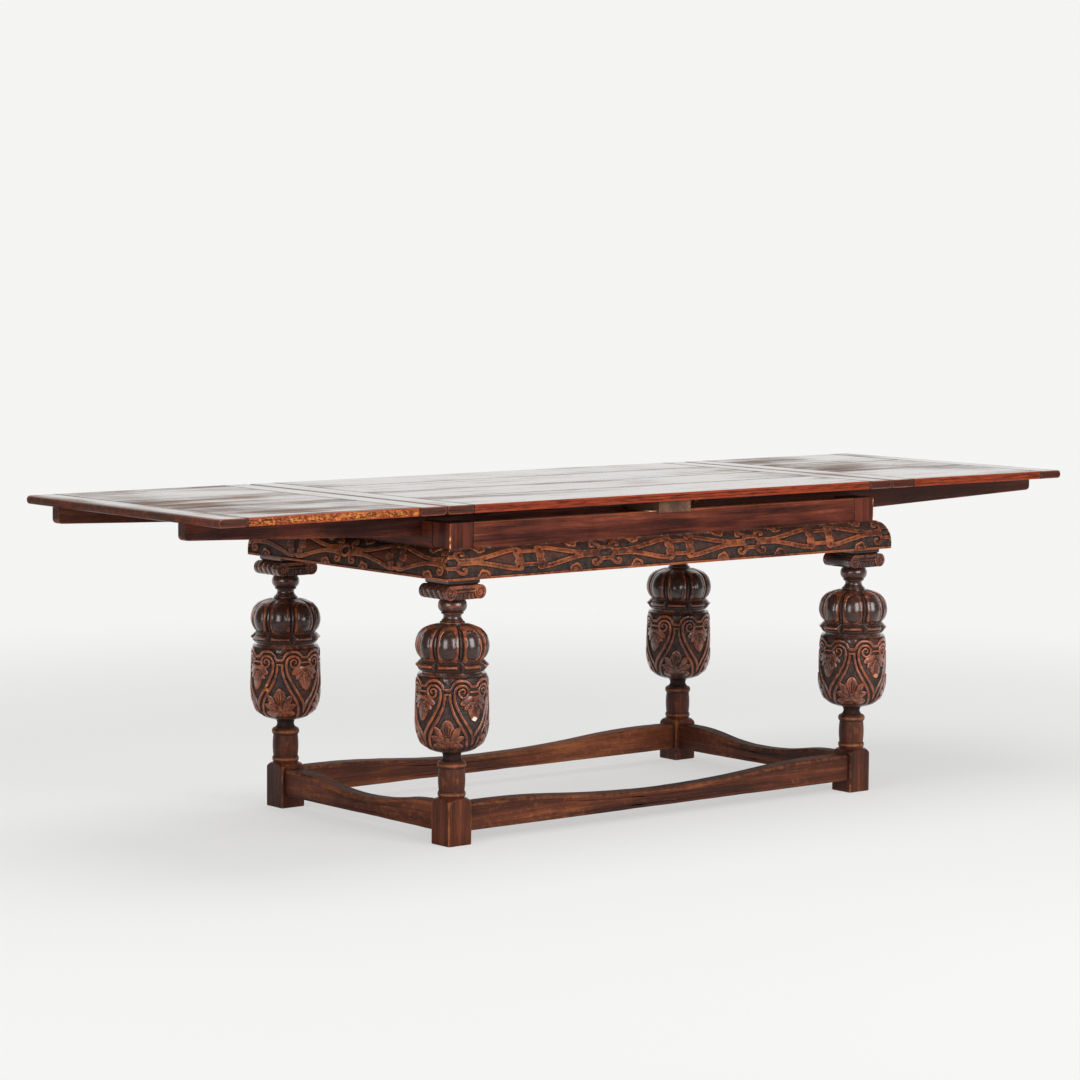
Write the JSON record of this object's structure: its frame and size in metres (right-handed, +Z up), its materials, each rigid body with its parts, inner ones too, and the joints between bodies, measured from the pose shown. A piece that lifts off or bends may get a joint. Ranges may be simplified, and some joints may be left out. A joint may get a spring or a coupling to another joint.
{
  "type": "draw-leaf table",
  "caption": "Long oak dining table on bulbous carved legs with a carved frieze and low stretchers; a leaf draws out on tapered lopers at each end of a floating centre top.",
  "frame": {"origin": "on the floor, under the middle of the table", "axes": "+X along the length toward the right leaf, +Y to the back, +Z up"},
  "size_m": [2.622, 0.8276, 0.78],
  "materials": {
    "carved_oak": "dark stained oak, carved, varnished and worn on the high parts",
    "frame_oak": "dark stained oak, varnished",
    "top_oak": "stained oak, glossy varnish, worn edges",
    "bare_oak": "unfinished oak"
  },
  "bodies": {
    "table_frame": {"leg_front_left": "carved_oak", "capital_front_left": "carved_oak", "corner_post_front_left": "frame_oak", "leg_front_right": "carved_oak", "capital_front_right": "carved_oak", "corner_post_front_right": "frame_oak", "leg_back_left": "carved_oak", "capital_back_left": "carved_oak", "corner_post_back_left": "frame_oak", "leg_back_right": "carved_oak", "capital_back_right": "carved_oak", "corner_post_back_right": "frame_oak", "rail_front": "frame_oak", "frieze_front": "carved_oak", "stretcher_front": "frame_oak", "rail_right": "frame_oak", "frieze_right": "carved_oak", "stretcher_right": "frame_oak", "rail_back": "frame_oak", "frieze_back": "carved_oak", "stretcher_back": "frame_oak", "rail_left": "frame_oak", "frieze_left": "carved_oak", "stretcher_left": "frame_oak", "centre_bearer": "bare_oak"},
    "centre_top": {"centre_plank_1": "top_oak", "centre_plank_2": "top_oak", "centre_plank_3": "top_oak", "centre_plank_4": "top_oak", "centre_cleat_left": "top_oak", "centre_cleat_right": "top_oak", "guide_peg_front": "bare_oak", "guide_peg_back": "bare_oak"},
    "left_leaf": {"left_leaf_plank_1": "top_oak", "left_leaf_plank_2": "top_oak", "left_leaf_plank_3": "top_oak", "left_leaf_inner_cleat": "top_oak", "left_leaf_outer_cleat": "top_oak", "left_loper_front": "frame_oak", "left_loper_back": "frame_oak", "left_stop_peg_front": "bare_oak", "left_stop_peg_back": "bare_oak"},
    "right_leaf": {"right_leaf_plank_1": "top_oak", "right_leaf_plank_2": "top_oak", "right_leaf_plank_3": "top_oak", "right_leaf_inner_cleat": "top_oak", "right_leaf_outer_cleat": "top_oak", "right_loper_front": "frame_oak", "right_loper_back": "frame_oak", "right_stop_peg_front": "bare_oak", "right_stop_peg_back": "bare_oak"}
  },
  "joints": [
    {"name": "centre_top_lift", "type": "slide", "parent": "table_frame", "child": "centre_top", "axis": [0, 0, 1], "range_m": [0, 0.045]},
    {"name": "left_leaf_draw", "type": "slide", "parent": "table_frame", "child": "left_leaf", "axis": [-0.9994, 0, 0.035], "range_m": [0, 0.018]},
    {"name": "right_leaf_draw", "type": "slide", "parent": "table_frame", "child": "right_leaf", "axis": [0.9994, 0, 0.035], "range_m": [0, 0.018]}
  ]
}
